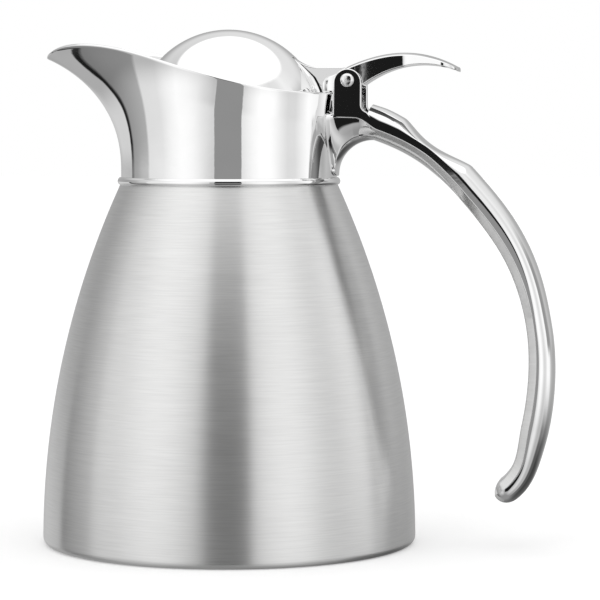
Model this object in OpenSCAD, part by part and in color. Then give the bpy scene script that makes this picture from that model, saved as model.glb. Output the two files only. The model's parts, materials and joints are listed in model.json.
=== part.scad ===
// Vacuum carafe with a flip lid: a double-walled brushed steel body, a polished pour
// collar with a drawn spout, a cast handle with a clevis, and a domed lid that a thumb
// lever lifts about a cross pin.
// Millimetres, +Z up, spout towards -X, handle towards +X, origin at the middle of the base.

/* [Body] */
// Diameter of the base
base_d = 115; // [104:1:126]
// Height of the seam between body and collar
body_h = 110.3; // [98:0.1:124]
// Diameter of the body at that seam
neck_d = 66.8; // [63:0.1:70]
// Radius of the rounded bottom edge
foot_r = 2.2; // [1.4:0.1:3.5]
// Thickness of the outer wall
shell_t = 0.7; // [0.5:0.05:1]
// Thickness of the inner wall
liner_t = 0.6; // [0.4:0.05:0.9]
// Width of the evacuated gap between the two walls
vacuum_gap = 4.5; // [3:0.1:5.5]
// Height of the liner's floor above the table
liner_floor = 8; // [7:0.1:12]
// Radius of the liner's bottom corner
liner_corner = 9; // [5:0.5:14]
// Radius of the mouth that the coffee pours through
mouth_r = 25.6; // [23:0.1:26]
// Height of the neck that the collar is pushed over
spigot_h = 5; // [4:0.1:6]
// Depth of the liner's neck below the mouth
liner_neck = 11; // [8:0.5:14]

/* [Base] */
// Width of the turned-in edge that the carafe stands on
foot_w = 6; // [4:0.1:9]
// Height of the vacuum base plate above the table
plate_h = 2.4; // [2.2:0.1:3.2]
// Thickness of the base plate
plate_t = 0.7; // [0.5:0.05:1]
// Depth of the plate's turned-up rim
plate_rim = 4; // [2:0.5:5]
// Radius of the pumping hole
pump_r = 1.5; // [1:0.1:2]
// Radius of the seal that closes the pumping hole
seal_r = 4.5; // [3:0.1:6]
// Radius of the getter pellet
getter_r = 7; // [5:0.5:9]
// Thickness of the getter pellet
getter_t = 1.2; // [0.8:0.1:1.6]

/* [Collar] */
// How far the collar's wall stands back from the body's edge
collar_step = 0.3; // [0.1:0.05:0.6]
// Thickness of the collar's wall
collar_t = 1; // [0.8:0.05:1.3]
// How far the bead stands out from the collar's wall
bead_out = 1.1; // [0.6:0.05:1.4]
// Height of the bead
bead_h = 3.2; // [2.4:0.1:4]
// Height above the seam at which the spout starts to flare
flare_z = 4.7; // [4:0.1:6]
// How far the lip reaches out from the collar's wall
spout_reach = 23.4; // [18:0.1:28]
// Height of the rim at the hinge, above the seam
rim_back_h = 27.5; // [26:0.1:29]
// Height of the rim's crest beside the spout, above the seam
rim_crest_h = 42; // [39:0.1:45]
// Height of the lip's tip, above the seam
rim_tip_h = 38.4; // [36:0.1:39]
// Sharpness of the spout's keel in plan
spout_pinch = 11; // [8:0.5:14]
// Share of the reach that widens the whole front of the collar
spout_swell = 0.3; // [0.1:0.05:0.4]
// Roundness of the keel's curve, from a parabola towards a quarter circle
keel_bend = 0.9; // [0.8:0.01:0.94]

/* [Seat] */
// Height of the seat ring
seat_h = 4; // [3:0.1:4.5]
// Height of the pouring slope on the seat ring
seat_slope_h = 2.4; // [1.6:0.1:2.8]
// Thickness of the neck gasket
gasket_t = 1; // [0.7:0.05:1.4]
// Width of the neck gasket
gasket_w = 3; // [2:0.1:3.6]

/* [Hinge] */
// Distance of the pin behind the collar's wall
pin_back = 4.5; // [4.4:0.05:5.2]
// Height of the pin above the rim
pin_up = 4.2; // [4:0.05:4.6]
// Radius of the pin
pin_r = 1.5; // [1.2:0.05:1.7]
// Radius of the pin's two heads
pin_head_r = 2.1; // [1.9:0.05:2.6]
// Thickness of the pin's heads
pin_head_t = 0.8; // [0.6:0.05:1]
// Width over the two ears
ears_w = 19; // [18:0.1:20]
// Width of the lever between the ears
lever_w = 12; // [11.4:0.1:12.6]
// Thickness of the two hinge washers
washer_t = 0.5; // [0.3:0.05:0.6]
// Radius of the ears' round tops
ear_r = 4.25; // [3.9:0.05:4.5]
// How far the ears' round tops sit below the pin's centre
ear_sink = 0.75; // [0.5:0.05:1]
// Radius of the fillet behind each ear
ear_fillet_r = 2.5; // [1.5:0.1:3]
// Wall of the bush in the lid's knuckle
bush_t = 0.6; // [0.4:0.05:0.7]

/* [Handle] */
// How far the grip reaches out behind the collar's wall
handle_reach = 65.1; // [58:0.1:74]
// How far the handle's end hangs below the seam
handle_drop = 95.3; // [84:0.1:97]
// Thickness of the grip between its shoulder and its inner face
grip_t = 5.4; // [4.5:0.1:6.5]
// Height of the crown on the grip's outer face
crown_h = 2.15; // [1.2:0.05:2.8]
// Depth of the scoop under the lever's tip
scoop_h = 3.1; // [2.6:0.1:3.5]
// Height of the flat sides next to the ears
side_h = 3.4; // [2:0.1:4]
// How much narrower the inner face is on each side
bevel_w = 2.4; // [1.2:0.1:3.2]
// Width of the grip at its free end
grip_end_w = 17; // [14:0.1:19]
// Radius of the fillet under the handle's root
root_fillet_r = 10.5; // [8:0.1:12]
// Width of the handle's root where it meets the collar
root_w = 22.8; // [21.6:0.1:26]
// Radius of the hollow where each side of the root spreads towards the collar
root_spread_r = 10; // [9:0.5:14]
// Height of the pin above the top of the root
root_drop = 8.2; // [7.8:0.1:8.6]
// How far the root reaches behind the pin
root_len = 8.5; // [8:0.1:9]
// Height of the pin above the start of the grip's shoulder
arm_drop = 7.5; // [7:0.1:8]
// Height of the two screws above the seam
screw_h = 16.2; // [15.6:0.1:16.8]
// Radius of the screws
screw_r = 1.5; // [1.2:0.05:1.6]
// Length of the screws inside the handle
screw_len = 8; // [6:0.1:9]
// Angle between each screw and the middle
screw_angle = 8; // [7.5:0.1:9]

/* [Lid] */
// Radius of the lid's dome
dome_r = 29; // [27.8:0.1:30]
// Height of the dome's top above the seam
dome_top_h = 47.35; // [46:0.05:49]
// Thickness of the dome's wall
dome_t = 0.8; // [0.6:0.05:1]
// Depth of the lid's flange below the rim at the hinge
flange_sink = 1.2; // [1:0.05:1.6]
// Gap between the lid's flange and the collar
lid_gap = 0.8; // [0.7:0.05:1.4]
// Thickness of the lid's flange
flange_t = 0.8; // [0.6:0.05:1]
// Thickness of the plate that closes the dome
lid_plate_t = 0.8; // [0.6:0.05:1]
// Width of the arm from the dome to the hinge
arm_w = 7; // [6:0.1:7.6]
// Height of the arm's flat top above the pin
arm_up = 4; // [3.8:0.05:4.2]
// Radius of the hollow between dome and arm
arm_fillet_r = 12; // [8:0.5:14]
// Radius of the arm's knuckle on the pin
knuckle_r = 3.5; // [3:0.05:3.6]
// Radius of the pin that joins the lever to the arm
rivet_r = 0.8; // [0.6:0.05:0.9]
// Depth of the plug below the flange
plug_h = 19.4; // [18.8:0.1:19.8]
// Radius of the plug's body
plug_r = 24; // [21:0.1:25]
// Thickness of the lid's gasket
lid_gasket_t = 2.4; // [1.8:0.1:2.8]
// Radius of the screw that holds the plug
plug_screw_r = 2; // [1.5:0.1:2.5]
// Depth of the recess for the screw's head
plug_recess = 3; // [2.4:0.1:3.6]

/* [Lever] */
// Reach of the lever behind the pin
lever_reach = 33.2; // [30:0.1:35]
// Height of the lever's back above the pin
lever_rise = 8.4; // [7.6:0.1:9]
// Width of the thumb pad
pad_w = 18.6; // [15:0.1:21]
// Thickness of the lever at its tip
tip_t = 1.3; // [1:0.1:2]
// Distance from the pin to the place where the pad starts to widen
pad_start = 17.8; // [14:0.1:20]
// Length of the foot in front of the pin
foot_len = 8.3; // [7.8:0.1:8.6]

/* [Hidden] */

fit = 0.1;           // gap between fixed pieces that are pushed together
run = 0.05;          // radial gap of a piece that turns
press = 0.02;        // radial gap of a pin or screw that is held tight
rest_gap = 0.3;      // gap between the closed lid and what it rests on
eps = 0.5;           // overlap that makes a cut run past a face
$fn = 96;

base_r = base_d / 2;
neck_r = neck_d / 2;
// The side is one arc that stands upright at the base and passes through the seam's edge
body_arc_r = (body_h * body_h + pow(base_r - neck_r, 2)) / (2 * (base_r - neck_r));
arc_x = base_r - body_arc_r;
arc_fn = 720;
gap_in = shell_t + vacuum_gap;

collar_r = neck_r - collar_step;
collar_in = collar_r - collar_t;
spigot_r = collar_in - fit;
spigot_z = body_h + spigot_h;
hole_r = base_r - foot_r - foot_w;
shoulder_z = spigot_z - liner_neck;

flare_start = body_h + flare_z;
rim_back_z = body_h + rim_back_h;
rim_crest_z = body_h + rim_crest_h;
rim_tip_z = body_h + rim_tip_h;
crest_x = -(collar_r + spout_reach * 0.42);
lip_x = -(collar_r + spout_reach);

pin_x = collar_r + pin_back;
pin_z = rim_back_z + pin_up;
lever_hw = lever_w / 2;
slot_hw = lever_hw + washer_t + run;
ear_hw = ears_w / 2;
bush_r = pin_r + run + bush_t;

seat_z = spigot_z + fit;
seat_top = seat_z + seat_h;
seat_rim_w = 0.6;    // flat edge outside the seat's slope
flange_r = collar_in - lid_gap;
flange_z = rim_back_z - flange_sink;
lip_rise = 0.35 * collar_t;     // how far the rolled lip stands above the rim
dome_z = body_h + dome_top_h - dome_r;
plug_z = flange_z - plug_h;
arm_hw = arm_w / 2;
arm_top = pin_z + arm_up;
foot_z = rim_back_z + lip_rise + rest_gap;

// ---- curves and lofts ----

function mix(a, b, t) = a + (b - a) * t;
function clamp01(t) = min(1, max(0, t));
function smooth(t) = let (c = clamp01(t)) c * c * (3 - 2 * c);
function unit(v) = v / norm(v);

// A point on a cubic curve with four control points
function bezier(c, t) = pow(1 - t, 3) * c[0] + 3 * t * pow(1 - t, 2) * c[1]
                      + 3 * t * t * (1 - t) * c[2] + t * t * t * c[3];

// The height of a curve that runs from left to right, at a given x
function curve_z(c, x, lo = 0, hi = 1, n = 16) =
    n == 0 ? bezier(c, (lo + hi) / 2)[1]
           : let (m = (lo + hi) / 2)
             bezier(c, m)[0] < x ? curve_z(c, x, m, hi, n - 1) : curve_z(c, x, lo, m, n - 1);

// Joins rings of equal length; a loop joins the last ring to the first, and otherwise
// the two ends are capped
module loft(rings, loop = false) {
    m = len(rings);
    n = len(rings[0]);
    sides = [for (i = [0 : loop ? m - 1 : m - 2], j = [0 : n - 1])
             let (a = i * n + j, b = i * n + (j + 1) % n,
                  c = ((i + 1) % m) * n + (j + 1) % n, d = ((i + 1) % m) * n + j)
             each [[a, b, c], [a, c, d]]];
    caps = loop ? [] : [[for (j = [n - 1 : -1 : 0]) j], [for (j = [0 : n - 1]) (m - 1) * n + j]];
    polyhedron(points = [for (r = rings) each r], faces = concat(sides, caps), convexity = 8);
}

// Extrudes a profile drawn in x and z across the middle plane
module across(width) {
    rotate([90, 0, 0]) linear_extrude(height = width, center = true) children();
}

// Half profile of a disc from one height to another
module disc_profile(r, z0, z1) {
    translate([0, z0]) square([r, z1 - z0]);
}

module ring(r_out, r_in, z, h) {
    translate([0, 0, z]) difference() {
        cylinder(r = r_out, h = h);
        translate([0, 0, -eps]) cylinder(r = r_in, h = h + 2 * eps);
    }
}

// ---- body ----

// Half profile of a bottle that keeps a set distance inside the body's side, from its
// floor to a flat top, with a round bottom corner
module bottle_profile(inset, floor_z, top_z, corner) {
    rho = body_arc_r - inset;
    cz = floor_z + corner;
    cx = arc_x + sqrt(pow(rho - corner, 2) - cz * cz);
    past = unit([cx - arc_x, cz]) * (rho + 5);
    intersection() {
        translate([arc_x, 0]) circle(r = rho, $fn = arc_fn);
        polygon([[0, cz], [cx, cz], [arc_x + past[0], past[1]], [base_r + 5, top_z], [0, top_z]]);
    }
    translate([cx, cz]) circle(r = corner);
    translate([0, floor_z]) square([cx, corner]);
}

module outer_shell() {
    color("silver") rotate_extrude($fn = 180) {
        difference() {
            bottle_profile(0, 0, body_h, foot_r);
            bottle_profile(shell_t, shell_t, body_h - shell_t, foot_r - shell_t);
            translate([0, -eps]) square([hole_r, shell_t + 2 * eps]);
            translate([0, body_h - shell_t - eps]) square([spigot_r - shell_t, shell_t + 2 * eps]);
        }
        translate([spigot_r - shell_t, body_h - shell_t]) square([shell_t, spigot_h + shell_t]);
    }
}

module inner_liner() {
    color("gainsboro") rotate_extrude($fn = 180) difference() {
        union() {
            bottle_profile(gap_in, liner_floor, shoulder_z, liner_corner);
            disc_profile(mouth_r + liner_t, shoulder_z - eps, spigot_z);
            disc_profile(spigot_r - shell_t - fit, spigot_z - liner_t, spigot_z);
        }
        bottle_profile(gap_in + liner_t, liner_floor + liner_t, shoulder_z - liner_t,
                       liner_corner - liner_t);
        disc_profile(mouth_r, shoulder_z - liner_t - eps, spigot_z + eps);
    }
}

module base_plate() {
    rim_r = base_r - shell_t - 2 * fit;
    color("silver") rotate_extrude() difference() {
        translate([0, shell_t + fit]) square([rim_r, plate_h + plate_rim - shell_t - fit]);
        translate([0, shell_t]) square([rim_r - plate_t, plate_h - shell_t]);
        translate([0, plate_h + plate_t]) square([rim_r - plate_t, plate_rim + eps]);
        translate([0, shell_t]) square([pump_r, plate_h]);
        // the rim stays inside the rounded bottom edge
        difference() {
            translate([hole_r, 0]) square([base_r, foot_r]);
            bottle_profile(shell_t + fit, shell_t + fit, plate_h + foot_r, foot_r - shell_t - fit);
        }
    }
}

module getter_pellet() {
    color("dimgray") translate([0, 0, liner_floor - fit - getter_t])
        cylinder(r = getter_r, h = getter_t);
}

module vacuum_seal() {
    color("gray") {
        translate([0, 0, plate_h - 0.8]) cylinder(r1 = seal_r - 0.5, r2 = seal_r, h = 0.7);
        translate([0, 0, plate_h - 0.6]) cylinder(r = pump_r - fit, h = plate_t + 0.8);
    }
}

module base_pad() {
    color("dimgray") difference() {
        union() {
            cylinder(r = hole_r - fit, h = plate_h - fit);
            translate([0, 0, shell_t + fit])
                cylinder(r = hole_r + foot_w / 2, h = plate_h - shell_t - 2 * fit);
        }
        // clears the seal, and grooves give the pad its grip
        translate([0, 0, plate_h - 1.2]) cylinder(r = seal_r + 1, h = 2);
        for (k = [1 : 3]) ring(hole_r * k / 4 + 0.8, hole_r * k / 4 - 0.8, -eps, eps + 0.5);
    }
}

// ---- collar ----

// Share of the spout's reach at an angle from the spout
function spout_share(a) =
    let (c = max(0, cos(a))) (1 - spout_swell) * pow(c, spout_pinch) + spout_swell * c * c;

// Height of the rim over a point x along the middle plane
function rim_z(x) =
    let (t = pow(clamp01((collar_r - x) / (collar_r - crest_x)), 1.12),
         nose = max(0, (crest_x - x) / (crest_x - lip_x)))
    mix(rim_back_z, rim_crest_z, smooth(t)) - (rim_crest_z - rim_tip_z) * pow(nose, 2.3);

// Height of the rim at an angle from the spout
function rim_at(a) = rim_z(-(collar_r + spout_reach * spout_share(a)) * cos(a));

function keel(s) =
    (1 - sqrt(1 - pow(keel_bend * s, 2))) / (1 - sqrt(1 - pow(keel_bend, 2)));

// The collar's outer face: angle from the spout, and share of the way up to the rim
function collar_point(a, s) =
    let (r = collar_r + spout_reach * spout_share(a) * keel(s))
    [-r * cos(a), r * sin(a), mix(flare_start, rim_at(a), s)];

function collar_up(a, s) = unit(collar_point(a, s + 0.001) - collar_point(a, s - 0.001));
function collar_out(a, s) =
    unit(cross(collar_up(a, s), collar_point(a + 0.05, s) - collar_point(a - 0.05, s)));

collar_n = 72;
collar_rows = 14;
bead_edge = 0.75;    // rounding of the bead's lower edge
angles = [for (j = [0 : collar_n - 1]) 360 * j / collar_n];
rows = [for (i = [0 : collar_rows]) i / collar_rows];

function circle_ring(r, z) = [for (a = angles) [-r * cos(a), r * sin(a), z]];

module pour_collar() {
    // the bead's round lower edge, and the hollow that leads from it to the wall
    bead_z = body_h + 0.4 * bead_h;
    bead = concat(
        [for (a = [0 : 30 : 90]) circle_ring(collar_r + bead_out - bead_edge * (1 - sin(a)),
                                             mix(body_h, bead_z, 1 - cos(a)))],
        [for (i = [1 : 6]) circle_ring(collar_r + bead_out * (1 - smooth(i / 6)),
                                       mix(bead_z, flare_start - 0.2, i / 6))]);
    outside = [for (s = rows) [for (a = angles) collar_point(a, s)]];
    lip = [for (a = angles) collar_point(a, 1) - collar_t / 2 * collar_out(a, 1)
                            + lip_rise * collar_up(a, 1)];
    inside = [for (s = [1, 0.93, 0.86, 0.78, 0.7, 0.6, 0.5, 0.4, 0.3, 0.15, 0])
              [for (a = angles) collar_point(a, s) - collar_t * collar_out(a, s)]];
    color("whitesmoke") difference() {
        loft(concat(bead, outside, [lip], inside, [circle_ring(collar_in, body_h)]), loop = true);
        at_screws() translate([0, 0, -eps]) cylinder(r = screw_r + fit, h = 2 * collar_t + 4);
    }
}

// ---- seat ----

module seat_ring() {
    r_out = collar_in - fit;
    color("lightgray") rotate_extrude() difference() {
        polygon([[mouth_r, seat_z], [r_out, seat_z], [r_out, seat_top],
                 [r_out - seat_rim_w, seat_top], [mouth_r + 1, seat_top - seat_slope_h],
                 [mouth_r, seat_top - seat_slope_h - 0.5]]);
        translate([mouth_r + 1, seat_z - eps]) square([gasket_w + 2 * fit, gasket_t + eps - fit]);
    }
}

module neck_gasket() {
    color("dimgray") ring(mouth_r + 1 + fit + gasket_w, mouth_r + 1 + fit, spigot_z, gasket_t);
}

// ---- handle ----

// Lines from the collar to the handle's end, as shares of its reach and drop: the
// shoulder is the edge between the flat side and the crown
handle_h = pin_z - body_h - arm_drop;
function hp(x, z) = [collar_r + handle_reach * x, body_h - handle_drop + (handle_drop + handle_h) * z];
shoulder = [
    [hp(0.00, 1.000), hp(0.28, 0.970), hp(0.50, 0.918), hp(0.672, 0.795)],
    [hp(0.672, 0.795), hp(0.89, 0.650), hp(1.00, 0.490), hp(1.00, 0.330)],
    [hp(1.00, 0.330), hp(1.00, 0.190), hp(0.935, 0.028), hp(0.762, -0.002)]];

function spine(t) = let (i = min(2, floor(t))) bezier(shoulder[i], t - i);
function spine_dir(t) = unit(spine(min(3, t + 0.01)) - spine(max(0, t - 0.01)));
function spine_out(t) = let (d = spine_dir(t)) [-d[1], d[0]];

function bump(x) = pow(max(0, 1 - x * x), 2);

// Places along the grip: its start, the two ends of the scoop, and the closing of the tip
grip_start = 0.24;
scoop_start = 0.435;
scoop_end = 0.885;
tip_start = 2.8;

// Height of the outer face above the shoulder, with the scoop under the lever's tip
function crown(t) =
    let (x = clamp01((t - scoop_start) / (scoop_end - scoop_start)))
    crown_h + 0.9 * bump((t - 1.32) / 0.45) + 0.9 * smooth((t - 2.45) / 0.35)
    - scoop_h * sin(180 * pow(x, 0.75));
// Depth of the inner face below the shoulder
function thick(t) = grip_t + 1.6 * (1 - smooth((t - 0.7) / 0.75)) - 0.5 * bump((t - 1.5) / 0.5)
                  + 0.6 * smooth((t - 1.8) / 0.6);
// The flat side ends at a crisp edge above the bevel, and narrows away down the grip
function side_low(t) = thick(t) - 2.3 - 0.8 * (1 - smooth((t - 0.6) / 0.4));
function side_flat(t) = mix(side_h, 0.5 * side_h, smooth((t - 0.68) / 0.18))
                      * (1 - smooth((t - 1.2) / 0.65));
function close(t) = t < tip_start ? 1
    : sqrt(max(0.02, 1 - pow((t - tip_start) / (3 - tip_start), 2)));

function handle_section(t) =
    let (p = spine(t), q = spine_out(t), k = close(t), mid = -1.2, d = thick(t),
         w = mix(ear_hw - 0.25, grip_end_w / 2, clamp01(t / 3)) * mix(0.35, 1, k),
         low = side_low(t), high = low - max(0.1, side_flat(t)),
         under = 1.7 * (1 - smooth((t - 0.5) / 0.7)),
         half = concat(
             [for (a = [30, 52, 72, 90]) [w * sin(a), (crown(t) + high) * cos(a) - high]],
             [[w, -low], [w - bevel_w, -d + under], [(w - bevel_w) / 2, -d - 0.3 + under / 5]]),
         line = concat([[0, crown(t)]], half,
                       [for (i = [len(half) - 1 : -1 : 0]) [-half[i][0], half[i][1]]]))
    [for (v = line) let (n = mid + (v[1] - mid) * k) [p[0] + q[0] * n, v[0], p[1] + q[1] * n]];

// Close rows at the scoop keep its two ends crisp
grip_rows = concat([for (i = [0 : 3]) mix(grip_start, scoop_start, i / 4)],
                   [for (i = [0 : 11]) mix(scoop_start, scoop_end, i / 12)],
                   [for (i = [0 : 31]) mix(scoop_end, tip_start, i / 32)],
                   [for (i = [0 : 8]) mix(tip_start, 3, sin(90 * i / 8))]);

module handle_grip() {
    loft([for (t = grip_rows) handle_section(t)]);
}

root_top = pin_z - root_drop;
root_end = pin_x + root_len;
root_low = flare_start;
fillet_x = root_end - 1.6;
slot_floor = root_top - 1.2;
arm_low = spine(grip_start)[1] - thick(grip_start) - 0.6;
spread_x = pin_x - 1;    // where the cheeks start to spread
spread_len = spread_x - sqrt(pow(collar_r, 2) - pow(root_w / 2, 2));
ledge = 1.8;         // drop of the root's top between ears and collar
ledge_len = 1.2;
cheek = 3.1;         // height of the flat cheek above the crisp edge
dip = 3;             // how far that edge sinks towards the grip
dip_x = pin_x + 3.4;
dip_len = 7;
foot_hw = 5.6;       // half width of the rounded underside at the collar
throat_hw = 6.4;     // half width of the rounded underside at the grip
foot_soft = 2.4;     // height of its rounding
shield_bulge = 0.5;
root_bevel = 0.4;
inside = 8;          // reach of cuts inside the collar's wall
clear = 40;          // size of shapes that reach past the handle's root
ear_blend = 2.2;     // height of the blend behind each ear
root_rows = 30;

// How far a circle drops away from its tangent, a distance along it
function fall(r, along) = r - sqrt(r * r - along * along);

// The root seen from behind at a place x: a flat top, upright cheeks that spread towards
// the collar, a sloping shield below a crisp edge, and a rounded underside in a fillet
function root_under(x) =
    max(root_low, arm_low - fall(root_fillet_r, min(root_fillet_r, max(0, fillet_x - x))));
function root_side(x) =
    mix(ear_hw - press, root_w / 2,
        fall(root_spread_r, min(spread_len, max(0, spread_x - x)))
        / fall(root_spread_r, spread_len));
function root_section(x) =
    let (low = root_under(x), side = root_side(x),
         top = root_top - ledge * (1 - clamp01((x - pin_x + ear_r) / ledge_len)),
         edge = root_top - cheek - dip * smooth((x - dip_x) / dip_len),
         foot = mix(foot_hw, throat_hw, smooth((x - collar_r) / (dip_x - collar_r))),
         soft = min(foot_soft, 0.3 * (edge - low)),
         half = concat(
             [[ear_hw - root_bevel, top], [ear_hw - press, top - root_bevel], [side, edge]],
             [for (k = [1 : 3]) [mix(side, foot, k / 3) + shield_bulge * sin(60 * k),
                                 mix(edge, low + soft, k / 3)]],
             [for (a = [30, 60]) [foot * cos(a), low + soft * (1 - sin(a))]]),
         line = concat([[0, top]], half, [[0, low]],
                       [for (i = [len(half) - 1 : -1 : 0]) [-half[i][0], half[i][1]]]))
    [for (v = line) [x, v[0], v[1]]];

module handle_root() {
    loft([for (i = [0 : root_rows])
          root_section(mix(collar_r - inside / 2, root_end, i / root_rows))]);
}

module ears() {
    across(ears_w) {
        translate([pin_x, pin_z - ear_sink]) circle(r = ear_r);
        translate([pin_x - ear_r, root_top - 2])
            square([2 * ear_r, pin_z - ear_sink - root_top + 2]);
        difference() {
            translate([pin_x + ear_r - 1, root_top - 2]) square([ear_fillet_r + 1, ear_blend + 2]);
            translate([pin_x + ear_r + ear_fillet_r, root_top + ear_blend])
                circle(r = ear_fillet_r);
        }
    }
}

// The two screws start inside the collar, where their heads and seals sit
head_in = 2.4;
module at_screws() {
    for (side = [-1, 1]) rotate([0, 0, side * screw_angle])
        translate([collar_in - head_in, 0, body_h + screw_h]) rotate([0, 90, 0]) children();
}

module handle() {
    color("whitesmoke") difference() {
        union() {
            handle_grip();
            handle_root();
            ears();
        }
        // the slot between the ears and the pocket behind it
        translate([collar_r - inside, -slot_hw, slot_floor])
            cube([root_end - collar_r + inside - 1, 2 * slot_hw, clear]);
        translate([pin_x, 0, pin_z]) rotate([90, 0, 0])
            cylinder(r = pin_r + press, h = ears_w + 2, center = true);
        at_screws() cylinder(r = screw_r + press, h = screw_len + 5);
        // the root's face follows the collar
        cylinder(r = collar_r + run, h = pin_z);
    }
}

module handle_screws() {
    color("silver") at_screws() difference() {
        union() {
            cylinder(r = screw_r, h = screw_len + head_in);
            cylinder(r1 = screw_r + 0.6, r2 = screw_r + 0.9, h = 1.5);
        }
        translate([0, 0, -eps]) cylinder(r = screw_r * 0.6, h = eps + 0.9, $fn = 6);
    }
}

module screw_seals() {
    color("dimgray") at_screws() ring(screw_r + 0.9, screw_r + fit, 1.6, 0.6);
}

// ---- hinge ----

module on_pin() {
    translate([pin_x, 0, pin_z]) rotate([90, 0, 0]) children();
}

module hinge_pin() {
    color("silver") on_pin() {
        cylinder(r = pin_r, h = ears_w + 2 * fit, center = true);
        for (side = [0, 1]) mirror([0, 0, side]) translate([0, 0, ear_hw + fit]) {
            cylinder(r = pin_head_r, h = pin_head_t / 2);
            translate([0, 0, pin_head_t / 2])
                cylinder(r1 = pin_head_r, r2 = pin_head_r * 0.7, h = pin_head_t / 2);
        }
    }
}

module hinge_washers() {
    color("dimgray") on_pin() for (side = [0, 1]) mirror([0, 0, side])
        ring(ear_r - 1, pin_r + run, slot_hw - washer_t, washer_t);
}

module hinge_bush() {
    color("tan") on_pin() ring(bush_r, pin_r + run, -lever_hw, lever_w);
}

// ---- lid ----

dome_foot_r = sqrt(dome_r * dome_r - pow(flange_z + flange_t - dome_z, 2));

module dome_profile(inset, z0) {
    intersection() {
        translate([0, dome_z]) circle(r = dome_r - inset, $fn = 240);
        translate([0, z0]) square([dome_r + 1, 2 * dome_r]);
    }
}

// Side view of the arm: hollow behind the dome, flat on top, with a knuckle on the pin
module arm_profile(grow = 0) {
    start = flange_r - 14;
    flat_x = sqrt(pow(dome_r + arm_fillet_r, 2) - pow(arm_top + arm_fillet_r - dome_z, 2));
    difference() {
        polygon([[start, flange_z], [flange_r - 1, flange_z], [flange_r - 1, foot_z + 0.5],
                 [pin_x, foot_z + 0.5 - grow], [pin_x + knuckle_r * 0.7, pin_z + knuckle_r * 0.7],
                 [pin_x - 2.2, arm_top + grow], [flat_x, arm_top + grow],
                 [start, arm_top + 8]]);
        if (grow == 0) translate([flat_x, arm_top + arm_fillet_r])
            circle(r = arm_fillet_r, $fn = 180);
        if (grow == 0) translate([start - 1, arm_top + arm_fillet_r * 0.25]) square([40, 10]);
    }
    translate([pin_x, pin_z]) circle(r = knuckle_r + grow);
}

module lid_dome() {
    color("whitesmoke") difference() {
        union() {
            rotate_extrude($fn = 180) {
                dome_profile(0, flange_z);
                translate([0, flange_z]) square([flange_r, flange_t]);
            }
            across(arm_w) arm_profile();
        }
        rotate_extrude($fn = 180) dome_profile(dome_t, flange_z - eps);
        at_rivet(rivet_r + press);
        on_pin() cylinder(r = bush_r + press, h = ears_w, center = true);
    }
}

plate_r = sqrt(pow(dome_r - dome_t, 2) - pow(flange_z + lid_plate_t + 2 * fit - dome_z, 2))
          - 2 * fit;
boss_r = plug_screw_r + 2.2;
boss_h = 6;
head_r = 2 * plug_screw_r;

module lid_plate() {
    color("silver") difference() {
        union() {
            translate([0, 0, flange_z]) cylinder(r = plate_r, h = lid_plate_t);
            translate([0, 0, flange_z]) cylinder(r = boss_r, h = boss_h);
        }
        translate([0, 0, flange_z - eps]) cylinder(r = plug_screw_r + press, h = boss_h - 0.5);
    }
}

module lid_insulation() {
    color("ivory") difference() {
        rotate_extrude() dome_profile(dome_t + fit, flange_z + lid_plate_t + 3 * fit);
        translate([0, 0, flange_z]) cylinder(r = boss_r + fit, h = boss_h + fit);
    }
}

// The plug: a core under the plate, a flange above the gasket and a nose in the mouth
gasket_in = mouth_r - 1.6;
gasket_out = collar_in - 2.2;
slope_out = collar_in - fit - seat_rim_w;
gasket_z = seat_top - seat_slope_h * (slope_out - gasket_out) / (slope_out - mouth_r - 1)
         + 1.5 * rest_gap;
plug_nose_r = gasket_in - fit;

module plug_body() {
    color("dimgray") difference() {
        rotate_extrude() {
            disc_profile(plug_r, gasket_z + lid_gasket_t + 1, flange_z - fit);
            disc_profile(gasket_out - 0.8, gasket_z + lid_gasket_t, gasket_z + lid_gasket_t + 2);
            polygon([[0, plug_z], [plug_nose_r - 2, plug_z], [plug_nose_r, plug_z + 2],
                     [plug_nose_r, gasket_z + lid_gasket_t + eps],
                     [0, gasket_z + lid_gasket_t + eps]]);
        }
        translate([0, 0, plug_z - eps]) cylinder(r = plug_screw_r + fit, h = plug_h + 2 * eps);
        translate([0, 0, plug_z - eps]) cylinder(r = head_r + 4 * fit, h = plug_recess + eps);
    }
}

module lid_gasket() {
    color("darkgray") rotate_extrude() polygon([
        [gasket_in, gasket_z + lid_gasket_t - fit], [gasket_in, gasket_z - 0.4],
        [mouth_r + 1, gasket_z - 0.4], [gasket_out, gasket_z],
        [gasket_out, gasket_z + 0.8], [gasket_out - 1, gasket_z + lid_gasket_t - fit]]);
}

module plug_screw() {
    color("silver") difference() {
        union() {
            translate([0, 0, plug_z + 1]) cylinder(r = head_r, h = plug_recess - 1 - fit);
            translate([0, 0, plug_z + 1]) cylinder(r = plug_screw_r, h = plug_h + boss_h - 2.5);
        }
        translate([0, 0, plug_z]) cylinder(r = plug_screw_r, h = 2, $fn = 6);
    }
}

// ---- lever ----

function lp(x, z) = [pin_x + lever_reach * x, pin_z + lever_rise * z];
lever_back = [lp(-0.139, 0.274), lp(0.253, 1.119), lp(0.633, 1.286), lp(0.994, 0.470)];
lever_belly = [lp(0.027, -0.488), lp(0.313, 0.512), lp(0.660, 0.833), lp(1.000, 0.310)];
lever_nose_x = pin_x - foot_len;
lever_tip_x = pin_x + lever_reach;
lever_front_x = pin_x - 3.6;    // where the foot's nose starts to narrow

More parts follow.
